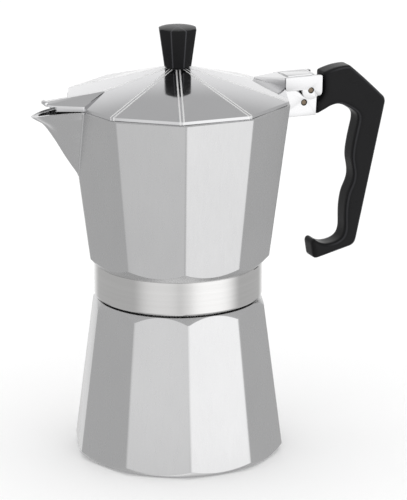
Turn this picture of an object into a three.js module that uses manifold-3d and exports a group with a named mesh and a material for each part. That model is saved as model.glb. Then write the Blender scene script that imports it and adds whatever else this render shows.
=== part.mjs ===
// A six-cup stovetop moka pot. Millimetres, +Z up, origin at the centre of the base.
// The handle points along +X, the spout along -X, and the lid's hinge lies along Y.
import * as THREE from 'three';
import { mergeVertices } from 'three/addons/utils/BufferGeometryUtils.js';
import Module from 'manifold-3d';

const wasm = await Module();
wasm.setup();

// ---- Driving dimensions -------------------------------------------------------------------

const SIDES = 10;                       // facets of the pot, with corners towards spout and handle
const CORNER_TAN = Math.tan(Math.PI / SIDES);
const GAP = 0.3;                        // clearance between pieces that rest on each other

// lower body
const FOOT_R = 47;
const BOILER_LOW = { r: 50.2, z: 3.4 };      // corner where the facets start
const BOILER_HIGH = { r: 41.25, z: 71.65 };  // corner where the facets end
const SHOULDER = { r: 38.7, z: 75 };         // inner edge of the sloping shoulder
const BOILER_TURN = 2.5;                // degrees the lower body stands off from the upper one
const NECK_R = 35;
const NECK_TOP = 85.8;
const NECK_BORE_R = 32;

// thread between the bodies
const PITCH = 3.2;
const THREAD_TURNS = 1.75;
const THREAD_DEPTH = 1;
const THREAD_START_Z = 78.4;             // on the neck; the collar's starts half a pitch lower
const COLLAR_THREAD_R = 36.4;           // the collar's bore, at the root of its thread

// upper body
const COLLAR = { r: 39.5, low: 75.95, high: 92.2 };
const BODY_LOW = { r: 43.9, z: 97 };
const BODY_HIGH = { r: 53.4, z: 169 };
const RIM_TOP = 169.7;
const BODY_WALL = 2.6;
const SEAT_Z = 91.9;                    // underside of the floor, where the gasket presses

// lid
const LID_R = 53.2;
const LID_LOW = 170;
const LID_EDGE = 171.4;
const LID_APEX = { r: 6, z: 184.4 };
const LID_TURN = -1.9;                  // degrees of play that the lid's facets stand off by

// knob
const KNOB_SIDES = 8;
const KNOB_LOW = { flat: 6.2, z: 185.2 };
const KNOB_HIGH = { flat: 8.7, z: 203.6 };
const KNOB_TURN = 3.9;

// hinge and handle, in the plane of the handle: x outwards from the pot's axis
const HINGE = { x: 64.6, z: 169 };
const TANG_PIN = { x: 61.7, z: 163.1 };
const PIN_R = 1.2;
const PIN_HOLE_R = 1.5;
const TANG_HALF = 3.3;
const CHEEK_IN = 3.6;                   // bracket cheeks
const CHEEK_OUT = 5.8;
const CAP_IN = 6.1;                     // the cap's cheeks pass outside the bracket's
const CAP_OUT = 7.5;
const CAP_TOP = 175.9;
const ROOF_LOW = 174.4;
const HANDLE_HALF = 5.75;
const LUG_R = 4.4;                      // eyes round the hinge pin

// safety valve, square to a facet of the lower body
const VALVE_TURN = 90 + BOILER_TURN;
const VALVE_Z = 45;

// how finely round shapes are divided
const FINE = 60;
const COARSE = 48;
const THREAD_STEPS = 30;                // per turn

// ---- Helpers ------------------------------------------------------------------------------

const deg = (angle) => THREE.MathUtils.degToRad(angle);
const polar = (r, angle) => new THREE.Vector2(r * Math.cos(deg(angle)), r * Math.sin(deg(angle)));
const points = (pairs) => pairs.map(([x, y]) => new THREE.Vector2(x, y));

// A closed manifold solid from any closed three.js geometry, with its faces turned outwards.
function solid(geometry) {
  const bare = geometry.clone();
  for (const name of Object.keys(bare.attributes)) {
    if (name !== 'position') bare.deleteAttribute(name);
  }
  const merged = mergeVertices(bare, 1e-4);
  const vertProperties = new Float32Array(merged.attributes.position.array);
  const index = Array.from(merged.index.array);
  const triVerts = [];
  let volume = 0;
  const corner = (i) => new THREE.Vector3().fromArray(vertProperties, 3 * i);
  for (let i = 0; i < index.length; i += 3) {
    const [a, b, c] = index.slice(i, i + 3);
    if (a === b || b === c || c === a) continue;
    triVerts.push(a, b, c);
    volume += corner(a).dot(corner(b).cross(corner(c)));
  }
  if (volume < 0) triVerts.reverse();
  const mesh = new wasm.Mesh({ numProp: 3, vertProperties, triVerts: new Uint32Array(triVerts) });
  return new wasm.Manifold(mesh);
}

function toGeometry(body) {
  const mesh = body.getMesh();
  const geometry = new THREE.BufferGeometry();
  geometry.setAttribute('position', new THREE.BufferAttribute(mesh.vertProperties, 3));
  geometry.setIndex(new THREE.BufferAttribute(mesh.triVerts, 1));
  geometry.computeVertexNormals();
  return geometry;
}

// A solid of revolution about Z from [radius, height] pairs.
function turned(profile, segments = COARSE) {
  return new THREE.LatheGeometry(points(profile), segments).rotateX(Math.PI / 2);
}

// The same, with a profile that closes on itself, such as a ring or a tube.
const ring = (profile, segments = COARSE) => turned([...profile, profile[0]], segments);

// A tapered prism with one corner on +X.
function pyramid(low, high, sides = SIDES) {
  return new THREE.CylinderGeometry(high.r, low.r, high.z - low.z, sides, 1, false, Math.PI / 2)
    .rotateX(Math.PI / 2)
    .translate(0, 0, (low.z + high.z) / 2);
}

// The point on the line through two {r, z} points at another height.
function atHeight(low, high, z) {
  return { r: low.r + (high.r - low.r) * (z - low.z) / (high.z - low.z), z };
}

// A flat outline in X and Z, as a slab between two values of y.
function slab(outline, yLow, yHigh) {
  const shape = outline instanceof THREE.Shape ? outline : new THREE.Shape(points(outline));
  return new THREE.ExtrudeGeometry(shape, { depth: yHigh - yLow, bevelEnabled: false, curveSegments: 10 })
    .rotateX(Math.PI / 2)
    .translate(0, yHigh, 0);
}

// A rod along Y.
function rod(x, z, r, yLow, yHigh, segments = 24) {
  return new THREE.CylinderGeometry(r, r, yHigh - yLow, segments).translate(x, (yLow + yHigh) / 2, z);
}

// An outline in X and Y carried up by a formula: place(x, y, t) gives the point, t from 0 to 1.
function swept(outline, steps, place) {
  const geometry = new THREE.ExtrudeGeometry(new THREE.Shape(points(outline)), {
    depth: 1, steps, bevelEnabled: false,
  });
  const position = geometry.attributes.position;
  for (let i = 0; i < position.count; i += 1) {
    position.setXYZ(i, ...place(position.getX(i), position.getY(i), position.getZ(i)));
  }
  return geometry;
}

// A helical ridge: rootR and crestR are its radii, and both ends run out into the root.
function threadRidge(rootR, crestR, startZ, turns, startAngle) {
  const inward = Math.sign(crestR - rootR);
  const buried = rootR - inward * 0.3;
  const outline = [[buried, -0.9], [crestR, -0.4], [crestR, 0.4], [buried, 0.9]];
  const runOut = 0.06;
  return swept(outline, Math.round(THREAD_STEPS * turns), (r, z, t) => {
    const height = Math.min(1, t / runOut, (1 - t) / runOut);
    const radius = r === crestR ? rootR + (crestR - rootR) * height : r;
    const angle = deg(startAngle) + t * turns * 2 * Math.PI;
    return [radius * Math.cos(angle), radius * Math.sin(angle), startZ + z + PITCH * turns * t];
  });
}

function material(color, roughness, metalness) {
  return new THREE.MeshStandardMaterial({ color, roughness, metalness });
}

const castAluminium = () => material(0xc9c9cf, 0.3, 1);
const polishedAluminium = () => material(0xd0d0d8, 0.12, 1);
const sheetAluminium = () => material(0xc4c4c8, 0.4, 1);
const blackPlastic = () => material(0x0b0b0c, 0.35, 0);
const brass = () => material(0xc8a24c, 0.35, 1);
const steel = () => material(0x8a857c, 0.35, 1);
const rubber = () => material(0xe6e1d6, 0.8, 0);

function part(name, geometry, finish) {
  const mesh = new THREE.Mesh(geometry, finish);
  mesh.name = name;
  return mesh;
}

// ---- Lower body ---------------------------------------------------------------------------

function makeBoiler() {
  const facets = solid(pyramid(atHeight(BOILER_LOW, BOILER_HIGH, 0), atHeight(BOILER_LOW, BOILER_HIGH, 80))
    .rotateZ(deg(BOILER_TURN)));
  const limits = solid(turned([
    [0, 0], [FOOT_R, 0], [BOILER_LOW.r + 4, BOILER_LOW.z + 4.25],
    [BOILER_HIGH.r + 14, BOILER_HIGH.z - 18.3], [SHOULDER.r, SHOULDER.z], [0, SHOULDER.z],
  ], FINE));
  const neck = solid(turned([
    [0, 60], [NECK_R, 60], [NECK_R, NECK_TOP - 0.6], [NECK_R - 0.6, NECK_TOP], [0, NECK_TOP],
  ], FINE));
  const ridge = solid(threadRidge(NECK_R, NECK_R + THREAD_DEPTH, THREAD_START_Z, THREAD_TURNS, 0));
  const hollow = solid(turned([
    [0, 3.6], [40, 3.6], [43.5, 5.6], [44.3, 9], [36.6, 67.5], [NECK_BORE_R, 72.2],
    [NECK_BORE_R, NECK_TOP + 1], [0, NECK_TOP + 1],
  ], COARSE));
  const valveHole = solid(rod(0, 0, 4.3, -12, 4).applyMatrix4(valvePlace()));
  return toGeometry(facets.intersect(limits).add(neck).add(ridge).subtract(hollow).subtract(valveHole));
}

// The valve's own axis is Y here, with y = 0 on the facet's outer face.
function valvePlace() {
  const low = BOILER_LOW.r * Math.cos(Math.PI / SIDES);
  const high = BOILER_HIGH.r * Math.cos(Math.PI / SIDES);
  const slope = (low - high) / (BOILER_HIGH.z - BOILER_LOW.z);
  const distance = low - slope * (VALVE_Z - BOILER_LOW.z);
  const place = new THREE.Group();
  place.position.set(distance * Math.cos(deg(VALVE_TURN)), distance * Math.sin(deg(VALVE_TURN)), VALVE_Z);
  place.rotation.set(Math.atan(slope), 0, deg(VALVE_TURN - 90), 'ZXY');
  place.updateMatrix();
  return place.matrix;
}

// ---- Safety valve -------------------------------------------------------------------------

const VALVE = {
  hexLow: 1.4, hexHigh: 5.4, nose: 8, seat: -4.5, inner: -6,
  chamberR: 2.9, inletR: 1.2, shankR: 4, stemR: 0.9, headR: 2.4,
};
const alongY = (profile, segments = 28) => ring(profile, segments).rotateX(-Math.PI / 2);

function makeValveBody() {
  const { hexLow, hexHigh, nose, seat, inner, chamberR, inletR, shankR } = VALVE;
  const shell = solid(alongY([
    [inletR, inner], [shankR, inner], [shankR, hexLow], [4.6, hexLow], [4.6, nose], [chamberR, nose],
    [chamberR, seat], [inletR, seat],
  ]));
  const hexHeight = hexHigh - hexLow;
  const hex = solid(new THREE.CylinderGeometry(6.3, 6.3, hexHeight, 6)
    .translate(0, hexLow + hexHeight / 2, 0));
  const bore = solid(new THREE.CylinderGeometry(4.2, 4.2, 20, 28));
  return toGeometry(hex.subtract(bore).add(shell));
}

function makeValveStem() {
  const { seat, stemR, headR } = VALVE;
  return alongY([
    [0, seat + GAP], [headR - 1, seat + GAP], [headR, seat + 1.3], [headR, seat + 1.8],
    [stemR, seat + 2.1], [stemR, 9], [stemR - 0.3, 9.5], [0, 9.5],
  ], 24);
}

function makeValveSpring() {
  const low = VALVE.seat + 2.5;
  const high = 6.2;
  const turns = 5;
  const meanR = 1.75;
  const wireR = 0.3;
  const outline = Array.from({ length: 6 }, (_, i) => polar(wireR, 60 * i).toArray());
  return swept(outline, 12 * turns, (x, y, t) => {
    const angle = t * turns * 2 * Math.PI;
    const r = meanR + x;
    return [r * Math.cos(angle), low + wireR + y + t * (high - low - 2 * wireR), r * Math.sin(angle)];
  });
}

function makeValve() {
  const valve = new THREE.Group();
  valvePlace().decompose(valve.position, valve.quaternion, valve.scale);
  valve.add(part('valve_washer', alongY([[4.3, GAP], [6, GAP], [6, 1.1], [4.3, 1.1]]), rubber()));
  valve.add(part('valve_body', makeValveBody(), brass()));
  valve.add(part('valve_stem', toGeometry(solid(makeValveStem())), brass()));
  valve.add(part('valve_spring', toGeometry(solid(makeValveSpring())), steel()));
  valve.add(part('valve_cap', alongY([[1.3, 6.5], [2.6, 6.5], [2.6, 7.7], [1.3, 7.7]]), brass()));
  return valve;
}

// ---- Coffee basket, its sieve, the filter plate and the gasket -----------------------------

const BASKET = { rimR: 33.6, rimTop: 86.9, wallR: 31.2, floorZ: 68, tubeR: 4.5, tubeEnd: 8, wall: 0.9 };

function makeFunnel() {
  const { rimR, rimTop, wallR, floorZ, tubeR, tubeEnd, wall } = BASKET;
  return ring([
    [wallR - wall, rimTop], [wallR - wall, floorZ + 1.4], [tubeR + 0.4, floorZ - 5.6],
    [tubeR - 0.8, floorZ - 7.4], [tubeR - 0.8, tubeEnd], [tubeR, tubeEnd], [tubeR, floorZ - 8],
    [tubeR + 1, floorZ - 6.8], [wallR, floorZ], [wallR, rimTop - 0.8], [rimR, rimTop - 0.8],
    [rimR, rimTop],
  ]);
}

// A disc pierced by rings of holes, six more in each ring.
function piercedDisc(radius, low, high, rings, spacing, holeR) {
  let disc = solid(turned([[0, low], [radius, low], [radius, high], [0, high]], 36));
  for (let n = 0; n <= rings; n += 1) {
    const count = n === 0 ? 1 : 6 * n;
    for (let i = 0; i < count; i += 1) {
      const at = polar(n * spacing, 360 * i / count);
      const hole = new THREE.CylinderGeometry(holeR, holeR, high - low + 2, 6)
        .rotateX(Math.PI / 2)
        .translate(at.x, at.y, (low + high) / 2);
      disc = disc.subtract(solid(hole));
    }
  }
  return toGeometry(disc);
}

// ---- Upper body ---------------------------------------------------------------------------

// The keel of the spout, outwards from the pot's axis, from the corner edge up to the lip.
const KEEL = new THREE.SplineCurve(points([
  [49.2, 137.7], [55.4, 147], [60.9, 156.2], [65.9, 163.2], [70, 166], [72, 167.4],
]));
const SPOUT_LOW = 137.7;
const SPOUT_HALF = 10;                  // half its width where it leaves the rim

// inset moves every wall of the spout inwards, and lift carries its open top upwards.
function spoutSolid(inset, lift) {
  const nose = [[1, 0], [0.96, 0.17], [0.88, 0.31], [0.74, 0.44], [0, 1], [-0.45, 1]];
  const outline = [...nose, ...nose.slice(1).reverse().map(([u, v]) => [u, -v])];
  return swept(outline, 14, (u, v, t) => {
    const keel = KEEL.getPoint(t);
    const rise = SPOUT_LOW + t * (RIM_TOP - SPOUT_LOW);
    const half = Math.max(0.05, SPOUT_HALF * t - inset);
    const wall = atHeight(BODY_LOW, BODY_HIGH, rise).r - SPOUT_HALF * t * CORNER_TAN;
    const reach = Math.max(keel.x - wall - inset, 0.05);
    const blend = Math.max(0, u) ** 2;
    const z = rise + (keel.y - rise) * blend + inset * (1 - t) + lift * t ** 6;
    return [-(wall + u * reach - (inset > 0 && u < 0 ? 8 : 0)), v * half, z];
  });
}

function makeCollector() {
  const facets = solid(pyramid(atHeight(BODY_LOW, BODY_HIGH, 88), atHeight(BODY_LOW, BODY_HIGH, RIM_TOP)));
  const limits = solid(turned([
    [0, 90], [COLLAR.r - 2.02, 90], [BODY_LOW.r + 11, BODY_LOW.z + 12.1],
    [BODY_HIGH.r + 1, 160], [BODY_HIGH.r + 1, RIM_TOP], [0, RIM_TOP],
  ], FINE));
  const collar = solid(turned([
    [0, COLLAR.low], [COLLAR.r - 1, COLLAR.low], [COLLAR.r, COLLAR.low + 1], [COLLAR.r, COLLAR.high],
    [COLLAR.r - 3, COLLAR.high + 3], [0, COLLAR.high + 3],
  ], FINE));
  const innerCorner = (z) => ({ r: atHeight(BODY_LOW, BODY_HIGH, z).r - BODY_WALL, z });
  const inside = solid(pyramid(innerCorner(95), innerCorner(175))).intersect(solid(turned([
    [0, 101.5], [6, 101.5], [7, 101], [35, 98], [38.4, 98.8], [41.5, 102.5], [60, 150], [60, 175], [0, 175],
  ], COARSE)));
  const below = solid(turned([
    [0, COLLAR.low - 1], [COLLAR_THREAD_R, COLLAR.low - 1],
    [COLLAR_THREAD_R, SEAT_Z], [33.2, SEAT_Z], [33.2, SEAT_Z + 1.2], [30, SEAT_Z + 1.2], [5.6, SEAT_Z + 4],
    [5.6, 110], [0, 110],
  ], COARSE));
  const ridge = solid(threadRidge(COLLAR_THREAD_R, COLLAR_THREAD_R - THREAD_DEPTH,
    THREAD_START_Z - PITCH / 2, THREAD_TURNS, 0));
  const cheekOutline = [
    [48.5, 156.6], [67.8, 156.6], [68.2, 165.2], [63.5, 165.2], [57, 169.6], [50.2, 169.6],
  ];
  const cheeks = solid(slab(cheekOutline, -CHEEK_OUT, -CHEEK_IN))
    .add(solid(slab(cheekOutline, CHEEK_IN, CHEEK_OUT)));
  const rootOutline = [[48.5, 156.6], [55.6, 156.6], [55.6, 169.6], [50.2, 169.6]];
  const root = solid(slab(rootOutline, -CHEEK_OUT, CHEEK_OUT));
  const pinHole = solid(rod(TANG_PIN.x, TANG_PIN.z, PIN_HOLE_R, -20, 20));
  const bracket = cheeks.add(root).subtract(pinHole);
  const channel = solid(spoutSolid(2, 4));
  const outer = facets.intersect(limits).add(collar).add(solid(spoutSolid(0, 0))).add(bracket);
  return toGeometry(outer.subtract(inside).subtract(below).subtract(channel).add(ridge));
}

// The coffee rises through this tube and leaves by two windows under its closed top.
function makeColumn() {
  const tube = solid(turned([
    [0, 96.2], [5.3, 96.2], [5.3, 103], [4.7, 104], [4, 139], [3, 141.5], [0, 142.2],
  ], 32));
  const bore = solid(turned([[0, 95], [3.4, 95], [2.6, 139], [0, 139.6]], 24));
  const window = solid(new THREE.BoxGeometry(20, 3, 5).translate(0, 0, 136));
  return toGeometry(tube.subtract(bore).subtract(window));
}

// ---- Lid ----------------------------------------------------------------------------------

const HOOD = { start: -35.8, bend: -50, tip: -65.6, high: 176.3 };

// Height of the hood's flat top, which falls from its point on the ridge and then levels out.
const hoodTop = (x) => HOOD.high + (Math.max(x, HOOD.bend) - HOOD.start) * 0.155
  + Math.min(x - HOOD.bend, 0) * 0.02;

function hoodSolid(inset, low) {
  const half = [[HOOD.start - 4 * inset, 0], [HOOD.bend, 10.5 - inset], [-62.5 + inset / 2, 5 - inset],
    [-65 + inset, 3.1 - inset / 2], [HOOD.tip + inset, 0]];
  const outline = [...half, ...half.slice(1, -1).reverse().map(([x, y]) => [x, -y])];
  return swept(outline, 1, (x, y, t) => [x, y, t < 0.5 ? low : hoodTop(x) - 0.8 * inset]);
}

// The cap's cheeks, in X and Z: they hang outside the bracket and end round the hinge pin.
const CAP_CHEEK = [
  [51.6, CAP_TOP], [69.7, CAP_TOP], [70.3, 175.3], [70.3, 168],
  [69.7, 166.8], [68, 166.2], [66, 169.6], [52.2, 169.6], [51.6, LID_LOW],
];
const NECK = { x: 38.4, z: 176.4 };      // where the cap's neck rises out of the lid's ridge

function makeLid() {
  const edge = solid(pyramid({ r: LID_R, z: LID_LOW }, { r: LID_R, z: LID_EDGE + 0.01 }));
  const shell = edge.add(solid(pyramid({ r: LID_R, z: LID_EDGE }, LID_APEX)));
  const innerR = LID_R - 3.5;
  const under = solid(pyramid({ r: innerR, z: LID_LOW - 1 }, { r: innerR, z: LID_LOW + 0.9 })).add(
    solid(pyramid({ r: innerR, z: LID_LOW + 0.8 }, { r: 5, z: LID_APEX.z - 1.7 })));
  const turnedLid = shell.rotate([0, 0, LID_TURN]);
  const turnedUnder = under.rotate([0, 0, LID_TURN]);

  // the hood is open under its lip, where the coffee pours out, and the lip ends in a bead
  const hood = solid(hoodSolid(0, LID_LOW + 0.1));
  const hoodInside = solid(hoodSolid(1.5, LID_LOW - 2));
  const lipTop = hoodTop(HOOD.tip);
  const mouthHigh = lipTop - 1.5;
  const mouth = solid(slab([[-70, 165], [-61.5, 165], [-61.5, mouthHigh], [-70, mouthHigh]], -12, 12));
  const bead = solid(rod(HOOD.tip + 0.4, lipTop - 0.4, 1.15, -2.4, 2.4, 16));

  // the neck widens from a point on the ridge to the cap's full width
  const neckOutline = [[NECK.x, 0], [51.6, CAP_IN], [56, CAP_IN], [56, -CAP_IN], [51.6, -CAP_IN]];
  const neckFall = (NECK.z - CAP_TOP) / (51.6 - NECK.x);
  const neckLow = (x) => (x > 52 ? ROOF_LOW : LID_LOW);
  const neckHigh = (x) => NECK.z - (x - NECK.x) * neckFall;
  const neck = solid(swept(neckOutline, 1, (x, y, t) => [x, y, t < 0.5 ? neckLow(x) : neckHigh(x)]));
  const roofOutline = [
    [51.6, ROOF_LOW], [51.6, CAP_TOP], [67.9, CAP_TOP], [69.3, 175.1], [70, ROOF_LOW],
  ];
  const roof = solid(slab(roofOutline, -CAP_OUT, CAP_OUT));
  const pad = solid(slab([[53, CAP_TOP - 0.5], [53.8, 176.3], [66.2, 176.3], [67.2, CAP_TOP - 0.4]], -5, 5));
  const cheeks = solid(slab(CAP_CHEEK, -CAP_OUT, -CAP_IN)).add(solid(slab(CAP_CHEEK, CAP_IN, CAP_OUT)));
  const ear = (yLow, yHigh) => solid(rod(HINGE.x, HINGE.z, LUG_R, yLow, yHigh, 36));
  const ears = ear(-CAP_OUT + 0.35, -CAP_IN).add(ear(CAP_IN, CAP_OUT - 0.35));
  const pinHole = solid(rod(HINGE.x, HINGE.z, PIN_HOLE_R, -20, 20));
  const cap = neck.add(roof).add(pad).add(cheeks).add(ears).subtract(pinHole);

  const screwHole = solid(turned([[0, 175], [1.85, 175], [1.85, 190], [0, 190]], 20));
  return toGeometry(turnedLid.add(hood).add(neck).subtract(turnedUnder).subtract(hoodInside)
    .subtract(mouth).add(bead).add(cap).subtract(screwHole));
}

// ---- Knob ---------------------------------------------------------------------------------

function makeKnob() {
  const corner = 1 / Math.cos(Math.PI / KNOB_SIDES);
  const low = { r: KNOB_LOW.flat * corner, z: KNOB_LOW.z };
  const high = { r: KNOB_HIGH.flat * corner, z: KNOB_HIGH.z };
  const plug = solid(pyramid(low, high, KNOB_SIDES).rotateZ(deg(KNOB_TURN)));
  const rounding = solid(turned([
    [0, KNOB_LOW.z], [high.r + 1, KNOB_LOW.z], [high.r + 1, high.z - 1.6], [high.r - 1, high.z - 0.4],
    [high.r - 3.4, high.z], [0, high.z],
  ], 40));
  const socket = solid(turned([[0, KNOB_LOW.z - 1], [3.3, KNOB_LOW.z - 1], [3.3, 195], [0, 195]], 24));
  return toGeometry(plug.intersect(rounding).subtract(socket));
}

function makeKnobScrew() {
  return toGeometry(solid(turned([
    [0, 180], [2.2, 180], [3, 180.7], [3, 182.3], [1.5, 182.4], [1.5, 193.4], [0, 194],
  ], 24)));
}

// ---- Handle -------------------------------------------------------------------------------

function handleOutline() {
  const front = 68.9;
  const reliefR = 8;
  const shape = new THREE.Shape();
  const arcStart = -Math.acos((front - HINGE.x) / reliefR);
  shape.moveTo(front, 156.4);
  shape.absarc(HINGE.x, HINGE.z, reliefR, arcStart, deg(8), false);
  shape.lineTo(72.6, 176.2);
  shape.quadraticCurveTo(80, 179, 86.2, 178.5);
  shape.quadraticCurveTo(95.2, 170.8, 104, 162);
  shape.quadraticCurveTo(105.2, 160.4, 104.5, 158);
  shape.lineTo(90.4, 93.4);
  shape.quadraticCurveTo(89.8, 90.4, 87.1, 89.7);
  shape.lineTo(70, 85.6);
  shape.quadraticCurveTo(68.2, 85.3, 67.8, 87);
  shape.lineTo(66.9, 92.8);
  shape.quadraticCurveTo(66.9, 95, 68.9, 95.1);
  shape.quadraticCurveTo(71.4, 92.6, 75, 92.3);
  shape.quadraticCurveTo(80.4, 92.2, 82.9, 94.8);
  // finger grips
  shape.bezierCurveTo(84.8, 97.4, 84.2, 101, 84.2, 104.2);
  shape.bezierCurveTo(84.2, 108, 84.4, 111, 85.1, 114.1);
  shape.bezierCurveTo(85.9, 118.4, 88.4, 120.6, 88.5, 124.6);
  shape.bezierCurveTo(88.6, 128.2, 87.2, 131.2, 87.4, 134.6);
  shape.bezierCurveTo(87.6, 138.6, 88.8, 143.8, 89.7, 147.6);
  shape.bezierCurveTo(90.6, 151, 91.4, 154, 88.8, 155.9);
  shape.bezierCurveTo(85.8, 158, 83, 160.1, 79.6, 160.4);
  shape.quadraticCurveTo(76, 160, 73.9, 158.6);
  return shape;
}

function makeHandle() {
  const bevel = 0.9;
  const grip = solid(new THREE.ExtrudeGeometry(handleOutline(), {
    depth: 2 * (HANDLE_HALF - bevel), curveSegments: 4,
    bevelSize: bevel, bevelThickness: bevel, bevelOffset: -bevel, bevelSegments: 1,
  }).rotateX(Math.PI / 2).translate(0, HANDLE_HALF - bevel, 0));
  // the tang's top steps down towards the grip, to clear the end of the cap when the lid is open
  const tangOutline = [[57, 157.8], [72, 157.8], [72, 162.8], [68, 162.8], [67.4, 164.6], [57, 164.6]];
  const tang = solid(slab(tangOutline, -TANG_HALF, TANG_HALF))
    .add(solid(slab([[59.4, 163], [67.4, 163], [67.4, 169], [59.4, 169]], -TANG_HALF, TANG_HALF)))
    .add(solid(rod(HINGE.x, HINGE.z, LUG_R, -TANG_HALF, TANG_HALF, 36)));
  const holes = solid(rod(HINGE.x, HINGE.z, PIN_HOLE_R, -20, 20))
    .add(solid(rod(TANG_PIN.x, TANG_PIN.z, PIN_HOLE_R, -20, 20)));
  return toGeometry(grip.add(tang).subtract(holes));
}

// ---- Assembly -----------------------------------------------------------------------------

const pot = new THREE.Group();

pot.add(part('boiler', makeBoiler(), castAluminium()));
pot.add(makeValve());

pot.add(part('funnel', makeFunnel(), sheetAluminium()));
pot.add(part('funnel_sieve', piercedDisc(29.8, 69.8, 70.6, 3, 8, 1.2), sheetAluminium()));
pot.add(part('gasket', ring([[28.5, 87.2], [35.8, 87.2], [35.8, 91.6], [28.5, 91.6]]), rubber()));
pot.add(part('filter_plate', piercedDisc(32.8, SEAT_Z, SEAT_Z + 0.9, 3, 8, 1.2), sheetAluminium()));

pot.add(part('collector', makeCollector(), castAluminium()));
pot.add(part('column', makeColumn(), castAluminium()));
pot.add(part('handle', makeHandle(), blackPlastic()));
const pinReach = CHEEK_OUT - 0.2;
pot.add(part('handle_pin', rod(TANG_PIN.x, TANG_PIN.z, PIN_R, -pinReach, pinReach), steel()));
const hingeReach = CAP_OUT - 0.5;
pot.add(part('hinge_pin', rod(HINGE.x, HINGE.z, PIN_R, -hingeReach, hingeReach), steel()));

pot.add(part('lid', makeLid(), polishedAluminium()));
pot.add(part('knob_washer', ring([[1.9, 184.6], [5.6, 184.6], [5.6, 185], [1.9, 185]], 32), blackPlastic()));
pot.add(part('knob', makeKnob(), blackPlastic()));
pot.add(part('knob_insert', ring([[1.85, 185.5], [3, 185.5], [3, 194.4], [1.85, 194.4]], 24), brass()));
pot.add(part('knob_screw', makeKnobScrew(), steel()));

export default pot;
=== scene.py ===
import math

import bmesh
import bpy
from mathutils import Matrix, Vector


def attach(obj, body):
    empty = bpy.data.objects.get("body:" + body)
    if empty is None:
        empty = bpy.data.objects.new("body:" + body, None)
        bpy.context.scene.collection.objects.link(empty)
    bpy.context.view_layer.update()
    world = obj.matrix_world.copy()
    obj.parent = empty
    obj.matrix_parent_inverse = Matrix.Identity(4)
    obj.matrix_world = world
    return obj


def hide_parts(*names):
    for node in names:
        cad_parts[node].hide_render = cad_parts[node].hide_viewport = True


mm = 0.001
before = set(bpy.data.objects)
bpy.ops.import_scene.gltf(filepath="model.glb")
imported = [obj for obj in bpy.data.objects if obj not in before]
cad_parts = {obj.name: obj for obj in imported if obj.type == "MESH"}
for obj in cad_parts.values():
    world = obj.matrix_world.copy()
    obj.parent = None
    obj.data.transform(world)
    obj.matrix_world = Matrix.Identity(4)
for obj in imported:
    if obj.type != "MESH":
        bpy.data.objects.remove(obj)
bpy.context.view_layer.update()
print("frame loaded:", len(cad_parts), "nodes")

# the pot's sides and how its bodies stand to each other
pot = {
    "sides": 10,
    "bodyTurn": 0.0,
    "boilerTurn": 2.5,
    "lidTurn": -1.9,
    "hingeX": 64.6,
    "hingeZ": 169.0,
    "pinX": 61.7,
    "pinZ": 163.1,
    "pinRadius": 1.2,
    "knobSides": 8,
    "knobTurn": 3.9,
}


def deselectAll():
    if bpy.context.mode != "OBJECT":
        bpy.ops.object.mode_set(mode="OBJECT")
    bpy.ops.object.select_all(action="DESELECT")


def pick(obj):
    deselectAll()
    obj.select_set(True)
    bpy.context.view_layer.objects.active = obj


def named(name):
    obj = bpy.context.object
    obj.name = name
    obj.data.name = name
    return obj


def settle(obj):
    # the object sits at the origin and its place is in its mesh
    pick(obj)
    bpy.ops.object.transform_apply(location=True, rotation=True, scale=True)


def editFaces(obj, test):
    # edit mode with only the faces that pass the test selected
    pick(obj)
    bpy.ops.object.mode_set(mode="EDIT")
    bpy.ops.mesh.select_mode(type="FACE")
    bpy.ops.mesh.select_all(action="DESELECT")
    mesh = bmesh.from_edit_mesh(obj.data)
    for face in mesh.faces:
        face.select_set(test(face))
    bmesh.update_edit_mesh(obj.data)


def editEdges(obj, test):
    # edit mode with only the edges that pass the test selected
    pick(obj)
    bpy.ops.object.mode_set(mode="EDIT")
    bpy.ops.mesh.select_mode(type="EDGE")
    bpy.ops.mesh.select_all(action="DESELECT")
    mesh = bmesh.from_edit_mesh(obj.data)
    for edge in mesh.edges:
        edge.select_set(test(edge))
    mesh.select_flush_mode()
    bmesh.update_edit_mesh(obj.data)


def leaveEdit():
    bpy.ops.object.mode_set(mode="OBJECT")


def applyModifier(obj, kind, **settings):
    pick(obj)
    modifier = obj.modifiers.new(kind.lower(), kind)
    for key, value in settings.items():
        setattr(modifier, key, value)
    bpy.ops.object.modifier_apply(modifier=modifier.name)


def combine(obj, tool, operation):
    applyModifier(obj, "BOOLEAN", operation=operation, object=tool, solver="EXACT")
    bpy.data.objects.remove(tool)


def roundEdges(obj, width, segments=2, angle=25):
    applyModifier(obj, "BEVEL", width=width * mm, segments=segments, limit_method="ANGLE",
                  angle_limit=math.radians(angle), harden_normals=False, use_clamp_overlap=True)


def shade(obj, angle=30):
    pick(obj)
    bpy.ops.object.shade_smooth_by_angle(angle=math.radians(angle))


def tidy(obj):
    pick(obj)
    bpy.ops.object.mode_set(mode="EDIT")
    bpy.ops.mesh.select_all(action="SELECT")
    bpy.ops.mesh.remove_doubles(threshold=0.002 * mm)
    bpy.ops.mesh.normals_make_consistent(inside=False)
    leaveEdit()


def turned(name, profile, steps=128):
    # a turned solid or ring from [radius, height] pairs in millimetres
    deselectAll()
    bpy.ops.mesh.primitive_circle_add(vertices=len(profile), radius=1.0, fill_type="NOTHING")
    obj = named(name)
    for vertex, (radius, height) in zip(obj.data.vertices, profile):
        vertex.co = Vector((radius * mm, 0.0, height * mm))
    bpy.ops.object.mode_set(mode="EDIT")
    bpy.ops.mesh.select_all(action="SELECT")
    bpy.ops.mesh.spin(steps=steps, angle=2 * math.pi, center=(0, 0, 0), axis=(0, 0, 1))
    bpy.ops.mesh.select_all(action="SELECT")
    bpy.ops.mesh.remove_doubles(threshold=0.001 * mm)
    bpy.ops.mesh.delete_loose()
    bpy.ops.mesh.select_all(action="SELECT")
    bpy.ops.mesh.normals_make_consistent(inside=False)
    leaveEdit()
    return obj


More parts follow.
